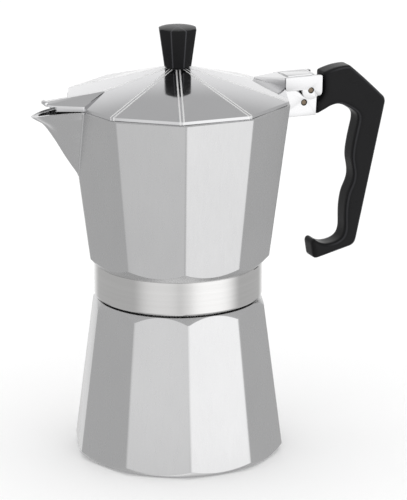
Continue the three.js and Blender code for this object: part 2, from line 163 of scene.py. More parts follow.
def facetedPyramid(name, sides, low, high, turn, cornerWidth=0.0, segments=3):
    # low and high are (corner radius, height); corners stand on +X and are turned by turn degrees
    deselectAll()
    bpy.ops.mesh.primitive_cone_add(
        vertices=sides, radius1=low[0] * mm, radius2=high[0] * mm, depth=(high[1] - low[1]) * mm,
        end_fill_type="NGON", location=(0, 0, (low[1] + high[1]) / 2 * mm),
        rotation=(0, 0, math.radians(turn)))
    obj = named(name)
    settle(obj)
    # the primitive's first corner is on +Y
    obj.data.transform(Matrix.Rotation(math.radians(90), 4, "Z"))
    if cornerWidth:
        editEdges(obj, lambda edge: abs(edge.verts[0].co.z - edge.verts[1].co.z) > 0.5 * mm)
        bpy.ops.mesh.bevel(offset=cornerWidth * mm, offset_type="OFFSET", segments=segments, affect="EDGES")
        leaveEdit()
    return obj


def dropBase(obj, depth):
    # carries the flat base straight down
    editFaces(obj, lambda face: face.normal.z < -0.99)
    bpy.ops.mesh.extrude_region_move(TRANSFORM_OT_translate={"value": (0, 0, -depth * mm)})
    leaveEdit()


def slab(name, outline, yLow, yHigh):
    # a flat outline of (x, z) points in millimetres, between two values of y
    deselectAll()
    bpy.ops.mesh.primitive_circle_add(vertices=len(outline), radius=1.0, fill_type="NGON")
    obj = named(name)
    for vertex, (x, z) in zip(obj.data.vertices, outline):
        vertex.co = Vector((x * mm, yLow * mm, z * mm))
    bpy.ops.object.mode_set(mode="EDIT")
    bpy.ops.mesh.select_all(action="SELECT")
    bpy.ops.mesh.extrude_region_move(TRANSFORM_OT_translate={"value": (0, (yHigh - yLow) * mm, 0)})
    bpy.ops.mesh.select_all(action="SELECT")
    bpy.ops.mesh.normals_make_consistent(inside=False)
    leaveEdit()
    return obj


def prism(name, outline, zLow, zHigh):
    # a flat outline of (x, y) points in millimetres; zLow and zHigh are numbers or functions of x and y
    deselectAll()
    bpy.ops.mesh.primitive_circle_add(vertices=len(outline), radius=1.0, fill_type="NGON")
    obj = named(name)
    for vertex, (x, y) in zip(obj.data.vertices, outline):
        vertex.co = Vector((x * mm, y * mm, 0.0))
    bpy.ops.object.mode_set(mode="EDIT")
    bpy.ops.mesh.select_all(action="SELECT")
    bpy.ops.mesh.extrude_region_move(TRANSFORM_OT_translate={"value": (0, 0, 1.0)})
    leaveEdit()
    for vertex in obj.data.vertices:
        level = zHigh if vertex.co.z > 0.5 else zLow
        x, y = vertex.co.x / mm, vertex.co.y / mm
        vertex.co.z = (level(x, y) if callable(level) else level) * mm
    pick(obj)
    bpy.ops.object.mode_set(mode="EDIT")
    bpy.ops.mesh.select_all(action="SELECT")
    bpy.ops.mesh.normals_make_consistent(inside=False)
    leaveEdit()
    return obj


def rod(name, x, z, radius, yLow, yHigh, vertices=40):
    deselectAll()
    bpy.ops.mesh.primitive_cylinder_add(
        vertices=vertices, radius=radius * mm, depth=(yHigh - yLow) * mm,
        location=(x * mm, (yLow + yHigh) / 2 * mm, z * mm), rotation=(math.pi / 2, 0, 0))
    obj = named(name)
    settle(obj)
    return obj


def strut(name, start, end, radius, steps=16):
    # a thin round bar between two points in millimetres
    deselectAll()
    bpy.ops.mesh.primitive_cylinder_add(vertices=steps, radius=radius * mm, depth=(end - start).length * mm)
    obj = named(name)
    turn = (end - start).to_track_quat("Z", "Y")
    for vertex in obj.data.vertices:
        vertex.co = turn @ vertex.co + (start + end) / 2 * mm
    return obj


def mirrored(outline):
    # the half outline with y >= 0, and its mirror image
    return outline + [(x, -y) for x, y in reversed(outline) if abs(y) > 1e-6]


def finished(obj, body, slotName, material, *nodes):
    obj.data.materials.clear()
    obj.data.materials.append(material)
    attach(obj, body)
    if nodes:
        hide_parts(*nodes)
    print("made", obj.name, len(obj.data.polygons), "faces")


def newFinish(name, colour, metallic, roughness, **sockets):
    material = bpy.data.materials.new(name)
    material.use_nodes = True
    tree = material.node_tree
    shader = tree.nodes["Principled BSDF"]
    shader.inputs["Base Color"].default_value = (*colour, 1.0)
    shader.inputs["Metallic"].default_value = metallic
    shader.inputs["Roughness"].default_value = roughness
    for key, value in sockets.items():
        shader.inputs[key.replace("_", " ")].default_value = value
    return material, tree, shader


def objectCoords(tree, scale=(1, 1, 1)):
    coords = tree.nodes.new("ShaderNodeTexCoord")
    mapping = tree.nodes.new("ShaderNodeMapping")
    mapping.inputs["Scale"].default_value = scale
    tree.links.new(coords.outputs["Object"], mapping.inputs["Vector"])
    return mapping.outputs["Vector"]


def mathNode(tree, operation, first, second=None):
    node = tree.nodes.new("ShaderNodeMath")
    node.operation = operation
    for socket, value in zip(node.inputs, (first, second)):
        if isinstance(value, (int, float)):
            socket.default_value = value
        elif value is not None:
            tree.links.new(value, socket)
    return node.outputs[0]


def axisValue(tree, axis):
    coords = tree.nodes.new("ShaderNodeTexCoord")
    split = tree.nodes.new("ShaderNodeSeparateXYZ")
    tree.links.new(coords.outputs["Object"], split.inputs[0])
    return split.outputs[axis]


def noise(tree, vector, scale, detail=4.0, roughness=0.55):
    node = tree.nodes.new("ShaderNodeTexNoise")
    node.inputs["Scale"].default_value = scale
    node.inputs["Detail"].default_value = detail
    node.inputs["Roughness"].default_value = roughness
    tree.links.new(vector, node.inputs["Vector"])
    return node.outputs["Fac"]


def spread(tree, value, low, high, fromLow=0.3, fromHigh=0.7):
    node = tree.nodes.new("ShaderNodeMapRange")
    node.inputs["From Min"].default_value = fromLow
    node.inputs["From Max"].default_value = fromHigh
    node.inputs["To Min"].default_value = low
    node.inputs["To Max"].default_value = high
    tree.links.new(value, node.inputs["Value"])
    return node.outputs["Result"]


def tint(tree, value, dark, light):
    node = tree.nodes.new("ShaderNodeMix")
    node.data_type = "RGBA"
    node.inputs["A"].default_value = (*dark, 1.0)
    node.inputs["B"].default_value = (*light, 1.0)
    tree.links.new(value, node.inputs["Factor"])
    return node.outputs["Result"]


def bump(tree, shader, heights, distance, strength):
    # heights are several height values, added up
    total = heights[0]
    for height in heights[1:]:
        total = mathNode(tree, "ADD", total, height)
    node = tree.nodes.new("ShaderNodeBump")
    node.inputs["Distance"].default_value = distance * mm
    node.inputs["Strength"].default_value = strength
    tree.links.new(total, node.inputs["Height"])
    tree.links.new(node.outputs["Normal"], shader.inputs["Normal"])


def cornerDistance(tree, sides, turn):
    # the distance in metres from the nearest of the corners that stand round the pot's axis
    x, y = axisValue(tree, "X"), axisValue(tree, "Y")
    angle = mathNode(tree, "SUBTRACT", mathNode(tree, "ARCTAN2", y, x), math.radians(turn))
    offCorner = mathNode(tree, "PINGPONG", angle, math.pi / sides)
    squares = mathNode(tree, "ADD", mathNode(tree, "MULTIPLY", x, x), mathNode(tree, "MULTIPLY", y, y))
    radius = mathNode(tree, "SQRT", squares)
    return mathNode(tree, "MULTIPLY", radius, mathNode(tree, "SINE", offCorner))


def band(tree, distance, centre, halfWidth):
    # 1 where the distance is within halfWidth of centre, in millimetres, fading to 0
    off = mathNode(tree, "ABSOLUTE", mathNode(tree, "SUBTRACT", distance, centre * mm))
    return spread(tree, off, 1.0, 0.0, halfWidth * 0.5 * mm, halfWidth * 1.2 * mm)


def recolour(tree, shader, mask, colour):
    # carries the base colour over to another one where the mask is 1
    under = shader.inputs["Base Color"].links[0].from_socket
    mix = tree.nodes.new("ShaderNodeMix")
    mix.data_type = "RGBA"
    tree.links.new(mask, mix.inputs["Factor"])
    tree.links.new(under, mix.inputs["A"])
    mix.inputs["B"].default_value = (*colour, 1.0)
    tree.links.new(mix.outputs["Result"], shader.inputs["Base Color"])


def satinCasting():
    look = {"colour": (0.64, 0.64, 0.645), "light": (0.69, 0.69, 0.695), "roughness": (0.24, 0.28)}
    material, tree, shader = newFinish("satinCasting", look["colour"], 1.0, 0.26)
    streaks = noise(tree, objectCoords(tree, (900, 900, 45)), 1.0, 3.0)
    clouds = noise(tree, objectCoords(tree, (60, 60, 40)), 1.0, 3.0)
    grain = noise(tree, objectCoords(tree), 2600.0, 2.0)
    tree.links.new(spread(tree, streaks, *look["roughness"]), shader.inputs["Roughness"])
    tree.links.new(tint(tree, clouds, look["colour"], look["light"]), shader.inputs["Base Color"])
    bump(tree, shader, [streaks, grain], 0.002, 0.05)
    return material


def polishedLid():
    look = {"colour": (0.66, 0.66, 0.67), "light": (0.70, 0.70, 0.71), "roughness": (0.07, 0.12),
            "ridgeHighlight": (1.0, 1.0, 1.0), "ridge": 0.8, "line": 0.44, "lineRoughness": 0.6}
    material, tree, shader = newFinish("polishedLid", look["colour"], 1.0, 0.1)
    clouds = noise(tree, objectCoords(tree, (40, 40, 40)), 1.0, 3.0)
    haze = noise(tree, objectCoords(tree, (300, 300, 300)), 1.0, 4.0)
    line = band(tree, cornerDistance(tree, pot["sides"], pot["lidTurn"]), look["ridge"], look["line"])
    haze = spread(tree, haze, *look["roughness"])
    worn = mathNode(tree, "MULTIPLY", line, look["lineRoughness"])
    tree.links.new(mathNode(tree, "ADD", haze, worn), shader.inputs["Roughness"])
    tree.links.new(tint(tree, clouds, look["colour"], look["light"]), shader.inputs["Base Color"])
    # a painted highlight: the base colour is painted white along each ridge line
    recolour(tree, shader, line, look["ridgeHighlight"])
    bump(tree, shader, [clouds], 0.05, 0.12)
    return material


def turnedCollar():
    look = {"colour": (0.66, 0.655, 0.65), "light": (0.74, 0.735, 0.73), "roughness": (0.06, 0.10)}
    material, tree, shader = newFinish("turnedCollar", look["colour"], 1.0, 0.08)
    rings = noise(tree, objectCoords(tree, (6, 6, 5200)), 1.0, 2.0)
    bands = noise(tree, objectCoords(tree, (3, 3, 420)), 1.0, 2.0)
    tree.links.new(spread(tree, bands, *look["roughness"]), shader.inputs["Roughness"])
    tree.links.new(tint(tree, bands, look["colour"], look["light"]), shader.inputs["Base Color"])
    bump(tree, shader, [rings], 0.004, 0.2)
    return material


def brightCasting():
    look = {"colour": (0.72, 0.72, 0.73), "light": (0.78, 0.78, 0.785), "roughness": (0.16, 0.26)}
    material, tree, shader = newFinish("brightCasting", look["colour"], 1.0, 0.2)
    clouds = noise(tree, objectCoords(tree, (120, 120, 120)), 1.0, 4.0)
    grain = noise(tree, objectCoords(tree), 1800.0, 3.0)
    tree.links.new(spread(tree, clouds, *look["roughness"]), shader.inputs["Roughness"])
    tree.links.new(tint(tree, clouds, look["colour"], look["light"]), shader.inputs["Base Color"])
    bump(tree, shader, [grain], 0.02, 0.3)
    return material


def blackMoulding():
    look = {"colour": (0.009, 0.009, 0.0095), "light": (0.013, 0.013, 0.014), "roughness": (0.24, 0.34)}
    material, tree, shader = newFinish("blackMoulding", look["colour"], 0.0, 0.3,
                                       IOR=1.26, Specular_IOR_Level=0.3)
    clouds = noise(tree, objectCoords(tree, (90, 90, 90)), 1.0, 4.0)
    orangePeel = noise(tree, objectCoords(tree), 900.0, 2.0)
    tree.links.new(spread(tree, clouds, *look["roughness"]), shader.inputs["Roughness"])
    tree.links.new(tint(tree, clouds, look["colour"], look["light"]), shader.inputs["Base Color"])
    bump(tree, shader, [orangePeel], 0.015, 0.25)
    return material


def knobMoulding():
    # as the black moulding, with a painted highlight along its corners
    look = {"line": 0.35, "edgeHighlight": (0.05, 0.05, 0.055)}
    material = blackMoulding()
    material.name = "knobMoulding"
    tree = material.node_tree
    shader = tree.nodes["Principled BSDF"]
    line = band(tree, cornerDistance(tree, pot["knobSides"], pot["knobTurn"]), 0.0, look["line"])
    recolour(tree, shader, line, look["edgeHighlight"])
    return material


def handleMoulding():
    # as the black moulding, with a painted highlight line along the edge of each flat side, but none by the
    # bracket
    look = {"edge": 5.1, "line": 0.35, "clear": (74, 80), "edgeHighlight": (0.035, 0.035, 0.038)}
    material = blackMoulding()
    material.name = "handleMoulding"
    tree = material.node_tree
    shader = tree.nodes["Principled BSDF"]
    side = mathNode(tree, "ABSOLUTE", axisValue(tree, "Y"))
    start, end = look["clear"]
    clear = spread(tree, axisValue(tree, "X"), 0.0, 1.0, start * mm, end * mm)
    line = mathNode(tree, "MULTIPLY", band(tree, side, look["edge"], look["line"]), clear)
    recolour(tree, shader, line, look["edgeHighlight"])
    return material


def plainMetal(name, dark, light, rough):
    material, tree, shader = newFinish(name, dark, 1.0, rough[0])
    clouds = noise(tree, objectCoords(tree, (260, 260, 260)), 1.0, 4.0)
    grain = noise(tree, objectCoords(tree), 3000.0, 2.0)
    tree.links.new(spread(tree, clouds, *rough), shader.inputs["Roughness"])
    tree.links.new(tint(tree, clouds, dark, light), shader.inputs["Base Color"])
    bump(tree, shader, [grain], 0.01, 0.3)
    return material


def mouldedSeal():
    look = {"colour": (0.62, 0.59, 0.51), "light": (0.72, 0.69, 0.61), "roughness": (0.6, 0.75)}
    material, tree, shader = newFinish("mouldedSeal", look["colour"], 0.0, 0.7)
    clouds = noise(tree, objectCoords(tree, (150, 150, 150)), 1.0, 4.0)
    grain = noise(tree, objectCoords(tree), 2200.0, 2.0)
    tree.links.new(spread(tree, clouds, *look["roughness"]), shader.inputs["Roughness"])
    tree.links.new(tint(tree, clouds, look["colour"], look["light"]), shader.inputs["Base Color"])
    bump(tree, shader, [grain], 0.02, 0.4)
    return material


finishes = {
    "satin": satinCasting(),
    "polished": polishedLid(),
    "collar": turnedCollar(),
    "bright": brightCasting(),
    "black": blackMoulding(),
    "knob": knobMoulding(),
    "handle": handleMoulding(),
    "sheet": plainMetal("pressedSheet", (0.60, 0.60, 0.61), (0.70, 0.70, 0.71), (0.32, 0.45)),
    "brass": plainMetal("turnedBrass", (0.60, 0.43, 0.18), (0.74, 0.56, 0.27), (0.22, 0.34)),
    "pin": plainMetal("pinSteel", (0.13, 0.10, 0.07), (0.26, 0.21, 0.16), (0.25, 0.42)),
    "seal": mouldedSeal(),
}
print("finishes made:", len(finishes))


def softPanel(tree, direction, azimuth, elevation, inner, outer, brightness):
    # a round soft light far off: full within the inner angle from its middle, gone past the outer one
    a, e = math.radians(azimuth), math.radians(elevation)
    middle = (math.cos(a) * math.cos(e), math.sin(a) * math.cos(e), math.sin(e))
    facing = tree.nodes.new("ShaderNodeVectorMath")
    facing.operation = "DOT_PRODUCT"
    tree.links.new(direction, facing.inputs[0])
    facing.inputs[1].default_value = middle
    fade = tree.nodes.new("ShaderNodeMapRange")
    fade.interpolation_type = "SMOOTHSTEP"
    fade.inputs["From Min"].default_value = math.cos(math.radians(outer))
    fade.inputs["From Max"].default_value = math.cos(math.radians(inner))
    fade.inputs["To Max"].default_value = brightness
    tree.links.new(facing.outputs["Value"], fade.inputs["Value"])
    return fade.outputs["Result"]


def makeStage():
    stage = {
        "floor": 4.0, "floorTone": 0.96, "fill": 1.12, "walls": 0.55,
        # soft panels that the metal reflects: azimuth, elevation, inner and outer angle, brightness
        "panels": {
            "right": (295, 0, 15, 50, 0.8),
            "left": (225, 0, 10, 45, 0.4),
            "behind": (70, 5, 15, 45, 0.5),
            "table": (0, -90, 10, 25, 0.6),
        },
    }
    deselectAll()
    bpy.ops.mesh.primitive_circle_add(vertices=96, radius=stage["floor"], fill_type="NGON",
                                      location=(0, 0, -0.0002))
    floor = named("floor")
    floor.visible_glossy = False
    material, tree, shader = newFinish("paleFloor", (stage["floorTone"],) * 3, 0.0, 0.9)
    floor.data.materials.append(material)

    world = bpy.data.worlds.new("studio")
    bpy.context.scene.world = world
    world.use_nodes = True
    tree = world.node_tree
    coords = tree.nodes.new("ShaderNodeTexCoord")
    light = stage["walls"]
    for panel in stage["panels"].values():
        light = mathNode(tree, "ADD", softPanel(tree, coords.outputs["Generated"], *panel), light)
    studio = tree.nodes["Background"]
    tree.links.new(light, studio.inputs["Color"])
    plain = tree.nodes.new("ShaderNodeBackground")
    plain.inputs["Color"].default_value = (1.0, 1.0, 1.0, 1.0)
    plain.inputs["Strength"].default_value = stage["fill"]
    path = tree.nodes.new("ShaderNodeLightPath")
    choice = tree.nodes.new("ShaderNodeMixShader")
    tree.links.new(path.outputs["Is Glossy Ray"], choice.inputs["Fac"])
    tree.links.new(plain.outputs[0], choice.inputs[1])
    tree.links.new(studio.outputs[0], choice.inputs[2])
    tree.links.new(choice.outputs[0], tree.nodes["World Output"].inputs["Surface"])
    print("stage made")


def makeCamera():
    view = {"azimuth": -22.6, "elevation": 16.4, "distance": 1.458, "lens": 223.45,
            "target": (0.01104, -0.0046, 0.09633)}
    a, e = math.radians(view["azimuth"]), math.radians(view["elevation"])
    back = Vector((math.sin(a) * math.cos(e), -math.cos(a) * math.cos(e), math.sin(e)))
    data = bpy.data.cameras.new("camera")
    data.lens = view["lens"]
    data.sensor_width = 36.0
    data.clip_end = 20.0
    camera = bpy.data.objects.new("camera", data)
    bpy.context.scene.collection.objects.link(camera)
    camera.location = Vector(view["target"]) + back * view["distance"]
    camera.rotation_mode = "QUATERNION"
    camera.rotation_quaternion = (-back).to_track_quat("-Z", "Y")
    bpy.context.scene.camera = camera
    bpy.context.scene.view_settings.view_transform = "Standard"
    print("camera made")


makeStage()
makeCamera()


def makeBoiler():
    boiler = {"low": (50.2, 3.4), "high": (41.25, 71.65), "foot": 47.0, "shoulder": (38.7, 75.0),
              "neck": 35.0, "neckTop": 85.8, "bore": 32.0, "corner": 0.9}
    slope = (boiler["high"][0] - boiler["low"][0]) / (boiler["high"][1] - boiler["low"][1])

    def cornerAt(z):
        return boiler["low"][0] + slope * (z - boiler["low"][1])

    outer = facetedPyramid("boiler_casting", pot["sides"], (cornerAt(0), 0), (cornerAt(78), 78),
                           pot["boilerTurn"], boiler["corner"])
    limits = turned("limits", [
        (0, 0), (boiler["foot"] - 1, 0), (boiler["foot"], 0.35),
        (boiler["low"][0] + 4, boiler["low"][1] + 4.25),
        (boiler["high"][0] + 14, boiler["high"][1] - 18.3), boiler["shoulder"],
        (0, boiler["shoulder"][1])], 160)
    combine(outer, limits, "INTERSECT")
    roundEdges(outer, 0.45, 2, 20)
    neck = turned("neck", [
        (0, 60), (boiler["neck"], 60), (boiler["neck"], boiler["neckTop"] - 0.6),
        (boiler["neck"] - 0.6, boiler["neckTop"]), (0, boiler["neckTop"])], 128)
    combine(outer, neck, "UNION")
    hollow = turned("hollow", [
        (0, 3.6), (40, 3.6), (43.5, 5.6), (44.3, 9), (36.6, 67.5), (boiler["bore"], 72.2),
        (boiler["bore"], boiler["neckTop"] + 1), (0, boiler["neckTop"] + 1)], 128)
    combine(outer, hollow, "DIFFERENCE")
    shade(outer, 25)
    finished(outer, "lower_body", "cast_aluminium", finishes["satin"], "boiler")


makeBoiler()


def alongCurve(points, t):
    # a smooth curve through the points, t from 0 to 1
    along = t * (len(points) - 1)
    i = min(int(along), len(points) - 2)
    u = along - i
    around = [points[max(0, i - 1)], points[i], points[i + 1], points[min(len(points) - 1, i + 2)]]
    place = []
    for a, b, c, d in zip(*around):
        square = 2 * a - 5 * b + 4 * c - d
        cube = 3 * b - a - 3 * c + d
        place.append(0.5 * (2 * b + (c - a) * u + square * u * u + cube * u ** 3))
    return place


collector = {
    "low": (43.9, 97.0), "high": (53.4, 169.0), "rim": 169.7, "wall": 2.6, "corner": 0.75, "rimCorner": 52.8,
    "collar": (39.5, 75.95, 92.2), "bore": 36.4, "seat": 91.9,
    "keel": [(49.2, 137.7), (55.4, 147.0), (60.9, 156.2), (65.9, 163.2), (70.0, 166.0), (72.0, 167.4)],
    "spoutLow": 137.7, "spoutHalf": 10.0, "spoutWall": 1.7, "crease": 0.5,
    "cheek": [(48.5, 156.6), (67.8, 156.6), (68.2, 165.2), (63.5, 165.2), (57.0, 169.6), (50.2, 169.6)],
    "web": [(56.9, 169.4), (63.2, 164.9), (66.8, 164.9), (66.4, 166.9), (64.6, 167.2), (62.8, 168),
            (62.3, 169.4)],
    "cheekIn": 3.6, "cheekOut": 5.8, "webOut": 5.0, "pinHole": 1.5,
}


def collectorCorner(z, inset=0.0):
    low, high = collector["low"], collector["high"]
    return low[0] - inset + (high[0] - low[0]) * (z - low[1]) / (high[1] - low[1])


def spoutShape(name, inset, lift, steps=22):
    half = [(-0.45, 1.0), (0.0, 1.0), (0.3, 0.77), (0.6, 0.54)]
    start, pull, end = (0.6, 0.54), (1.0, 0.27), (1.0, 0.0)
    for i in range(1, 11):
        t = i / 10
        weights = ((1 - t) ** 2, 2 * t * (1 - t), t * t)
        half.append(tuple(sum(w * value for w, value in zip(weights, values))
                          for values in zip(start, pull, end)))
    outline = mirrored(half)
    deselectAll()
    bpy.ops.mesh.primitive_circle_add(vertices=len(outline), radius=1.0, fill_type="NGON")
    obj = named(name)
    for vertex, (u, v) in zip(obj.data.vertices, outline):
        vertex.co = Vector((u, v, 0.0))
    bpy.ops.object.mode_set(mode="EDIT")
    bpy.ops.mesh.select_all(action="SELECT")
    for _ in range(steps):
        bpy.ops.mesh.extrude_region_move(TRANSFORM_OT_translate={"value": (0, 0, 1.0)})
    leaveEdit()
    slope = math.tan(math.pi / pot["sides"])
    for vertex in obj.data.vertices:
        u, v, t = vertex.co.x, vertex.co.y, vertex.co.z / steps
        keel = alongCurve(collector["keel"], t)
        rise = collector["spoutLow"] + t * (collector["rim"] - collector["spoutLow"])
        half = max(0.05, collector["spoutHalf"] * t - inset)
        wall = collectorCorner(rise) - collector["spoutHalf"] * t * slope
        reach = max(keel[0] - wall - inset, 0.05)
        z = rise + (keel[1] - rise) * max(0.0, u) ** 2 + inset * (1 - t) + lift * t ** 6
        x = wall + u * reach - (8.0 if inset > 0 and u < 0 else 0.0)
        vertex.co = Vector((-x * mm, v * half * mm, z * mm))
    tidy(obj)
    return obj


def makeCollector():
    casting = facetedPyramid("collector_casting", pot["sides"], (collectorCorner(88), 88),
                             (collectorCorner(collector["rim"]), collector["rim"]), pot["bodyTurn"],
                             collector["corner"])
    radius, _, top = collector["collar"]
    high = collector["high"][0]
    limits = turned("limits", [
        (0, top - 0.4), (radius - 0.37, top - 0.4), (collector["low"][0] + 11, collector["low"][1] + 12.1),
        (high + 1, 160), (high + 1, collector["rim"]), (0, collector["rim"])], 160)
    combine(casting, limits, "INTERSECT")
    drop = collector["rim"] - 88
    chamfer = facetedPyramid("chamfer", pot["sides"], (collector["rimCorner"] + drop, 88),
                             (collector["rimCorner"], collector["rim"]), pot["bodyTurn"], collector["corner"])
    combine(casting, chamfer, "INTERSECT")
    combine(casting, spoutShape("spout", 0.0, 0.0), "UNION")
    roundEdges(casting, 0.4, 2, 28)
    inside = facetedPyramid("inside", pot["sides"], (collectorCorner(95, collector["wall"]), 95),
                            (collectorCorner(175, collector["wall"]), 175), pot["bodyTurn"], 1.2)
    bowl = turned("bowl", [
        (0, 101.5), (6, 101.5), (7, 101), (35, 98), (38.4, 98.8), (41.5, 102.5), (60, 150), (60, 175),
        (0, 175)], 128)
    combine(inside, bowl, "INTERSECT")
    combine(casting, inside, "DIFFERENCE")
    combine(casting, spoutShape("channel", collector["spoutWall"], 4.0), "DIFFERENCE")
    below = turned("below", [
        (0, 85), (collector["bore"], 85), (collector["bore"], collector["seat"]), (33.2, collector["seat"]),
        (33.2, collector["seat"] + 1.2), (30, collector["seat"] + 1.2), (5.6, collector["seat"] + 4),
        (5.6, 110), (0, 110)], 128)
    combine(casting, below, "DIFFERENCE")
    shade(casting, 25)
    finished(casting, "upper_body", "cast_aluminium", finishes["satin"], "collector")

    slope = math.tan(math.pi / pot["sides"])
    reach = collectorCorner(collector["rim"]) - collector["spoutHalf"] * slope
    for side, name in ((-1, "spout_crease"), (1, "spout_crease_far")):
        low = Vector((-collectorCorner(collector["spoutLow"]) + 0.1, 0, collector["spoutLow"]))
        high = Vector((-reach, side * (collector["spoutHalf"] + 0.1), collector["rim"] - 0.6))
        crease = strut(name, low, high, collector["crease"])
        shade(crease, 40)
        finished(crease, "upper_body", "cast_aluminium", finishes["bright"])

    radius, low, high = collector["collar"]
    collar = turned("collector_collar", [
        (collector["bore"], low + 0.3), (collector["bore"] + 0.3, low), (radius - 1.0, low),
        (radius - 0.35, low + 0.3), (radius, low + 1.0), (radius, high - 0.35), (radius - 0.3, high),
        (collector["bore"], high)], 160)
    shade(collar, 25)
    finished(collar, "upper_body", "cast_aluminium", finishes["collar"])

    bracket = slab("handle_bracket", collector["cheek"], -collector["cheekOut"], collector["cheekOut"])
    inner, outer = collector["cheekIn"], collector["webOut"]
    slot = slab("slot", [(55.6, 150), (75, 150), (75, 175), (55.6, 175)], -inner, inner)
    combine(bracket, slot, "DIFFERENCE")
    combine(bracket, rod("hole", pot["pinX"], pot["pinZ"], collector["pinHole"], -20, 20), "DIFFERENCE")
    for yLow, yHigh in ((-outer, -inner), (inner, outer)):
        combine(bracket, slab("web", collector["web"], yLow, yHigh), "UNION")
    roundEdges(bracket, 0.35, 2, 30)
    shade(bracket, 30)
    finished(bracket, "upper_body", "cast_aluminium", finishes["bright"])


makeCollector()


lid = {
    "corner": 53.2, "low": 169.8, "edge": 171.4, "apex": (6.0, 184.4), "ridge": 0.75,
    "under": 49.7, "screwHole": 1.85,
    "hoodPoint": (-35.8, 176.3), "hoodRise": 0.155, "hoodBend": -50.0, "hoodHalf": 10.5, "hoodFall": 0.14,
    "hoodTip": -65.6, "mouth": -61.5, "bead": 1.15, "beadHalf": 2.4,
    "capStart": 51.6, "capInner": 6.1, "capOuter": 7.5, "capTop": 175.9, "roofLow": 174.4,
    "neck": (38.4, 176.4), "ear": 4.4, "pinHole": 1.5,
}


def hoodTop(x):
    bend = lid["hoodBend"]
    slope = (max(x, bend) - lid["hoodPoint"][0]) * lid["hoodRise"]
    return lid["hoodPoint"][1] + slope + min(x - bend, 0) * 0.02


def hoodShape(name, inset, low):
    tip = lid["hoodTip"] + inset
    half = [(lid["hoodPoint"][0] - 4 * inset, 0), (lid["hoodBend"], lid["hoodHalf"] - inset),
            (tip + 3.1 - inset / 2, 5.0 - inset), (tip + 1.7 - inset / 2, 4.2 - inset / 2),
            (tip + 0.6, 3.1 - inset / 2), (tip + 0.1, 1.6 - inset / 3), (tip, 0)]
    hood = prism(name, mirrored(half), low,
                 lambda x, y: hoodTop(x) - abs(y) * lid["hoodFall"] - 0.8 * inset)
    pick(hood)
    bpy.ops.object.mode_set(mode="EDIT")
    bpy.ops.mesh.select_all(action="DESELECT")
    mesh = bmesh.from_edit_mesh(hood.data)
    for vertex in mesh.verts:
        vertex.select_set(abs(vertex.co.y) < 0.01 * mm and vertex.co.z > (low + 1) * mm)
    bmesh.update_edit_mesh(hood.data)
    bpy.ops.mesh.vert_connect_path()      # the crest along the middle
    leaveEdit()
    return hood


def makeLid():
    corner, low, edge, ridge = lid["corner"], lid["low"], lid["edge"], lid["ridge"]
    shell = facetedPyramid("lid_casting", pot["sides"], (corner, edge), lid["apex"], pot["lidTurn"], ridge, 1)
    dropBase(shell, edge - low)
    roundEdges(shell, 0.25, 2, 40)
    hood = hoodShape("hood", 0.0, low + 0.2)
    roundEdges(hood, 0.4, 3, 30)
    combine(shell, hood, "UNION")
    under = facetedPyramid("under", pot["sides"], (lid["under"], low + 0.8), (5, lid["apex"][1] - 1.7),
                           pot["lidTurn"])
    dropBase(under, 1.8)
    combine(shell, under, "DIFFERENCE")
    combine(shell, hoodShape("hoodInside", 1.5, low - 2), "DIFFERENCE")
    hole = turned("hole", [(0, 175), (lid["screwHole"], 175), (lid["screwHole"], 190), (0, 190)], 32)
    combine(shell, hole, "DIFFERENCE")
    tip, back = lid["hoodTip"], lid["mouth"]
    lip = hoodTop(tip + 0.6)
    mouth = slab("mouth", [(-70, 165), (back, 165), (back, lip - 1.5), (-70, lip - 1.5)], -12, 12)
    combine(shell, mouth, "DIFFERENCE")
    bead = rod("bead", tip + 0.4, lip - 0.4, lid["bead"], -lid["beadHalf"], lid["beadHalf"], 32)
    roundEdges(bead, 0.6, 4, 40)
    combine(shell, bead, "UNION")
    shade(shell, 22)
    finished(shell, "lid_body", "polished_aluminium", finishes["polished"], "lid")


def makeHingeCap():
    outer, inner, top, roofLow = lid["capOuter"], lid["capInner"], lid["capTop"], lid["roofLow"]
    (start, crest), end = lid["neck"], lid["capStart"]
    slope = (lid["apex"][1] - lid["edge"]) / (lid["corner"] - lid["apex"][0])
    cap = prism("hinge_cap", [(start, 0), (end, inner), (57, inner), (57, -inner), (end, -inner)],
                lambda x, y: lid["apex"][1] - (x - lid["apex"][0]) * slope - 0.9,
                lambda x, y: crest - (x - start) * (crest - top) / (end - start))
    roof = slab("roof", [(end, roofLow), (end, top), (67.9, top), (68.7, 175.6), (69.3, 175.1),
                         (70, roofLow)], -outer, outer)
    pad = slab("pad", [(53.2, top - 0.8), (53.8, 176.4), (66.2, 176.4), (66.8, top - 0.8)], -5, 5)
    roundEdges(pad, 0.25, 2, 30)
    groove = slab("groove", [(52.8, top - 0.5), (52.8, top + 1), (67.2, top + 1), (67.2, top - 0.5)],
                  -5.45, 5.45)
    outline = [(end, top), (69.7, top), (70.1, 175.7), (70.3, 175.3), (70.3, 173), (70.2, 169), (70.1, 167.6),
               (69.8, 166.9), (69.2, 166.4), (68, 166.2), (66, 169.6), (52.2, 169.6), (end, 170)]
    combine(cap, roof, "UNION")
    for yLow, yHigh in ((-outer, -inner), (inner, outer)):
        combine(cap, slab("cheek", outline, yLow, yHigh), "UNION")
        earLow, earHigh = max(yLow, 0.35 - outer), min(yHigh, outer - 0.35)
        combine(cap, rod("ear", pot["hingeX"], pot["hingeZ"], lid["ear"], earLow, earHigh, 64), "UNION")
    combine(cap, rod("hole", pot["hingeX"], pot["hingeZ"], lid["pinHole"], -20, 20), "DIFFERENCE")
    roundEdges(cap, 0.3, 2, 30)
    combine(cap, groove, "DIFFERENCE")
    combine(cap, pad, "UNION")
    shade(cap, 30)
    finished(cap, "lid_body", "polished_aluminium", finishes["bright"])


makeLid()
makeHingeCap()


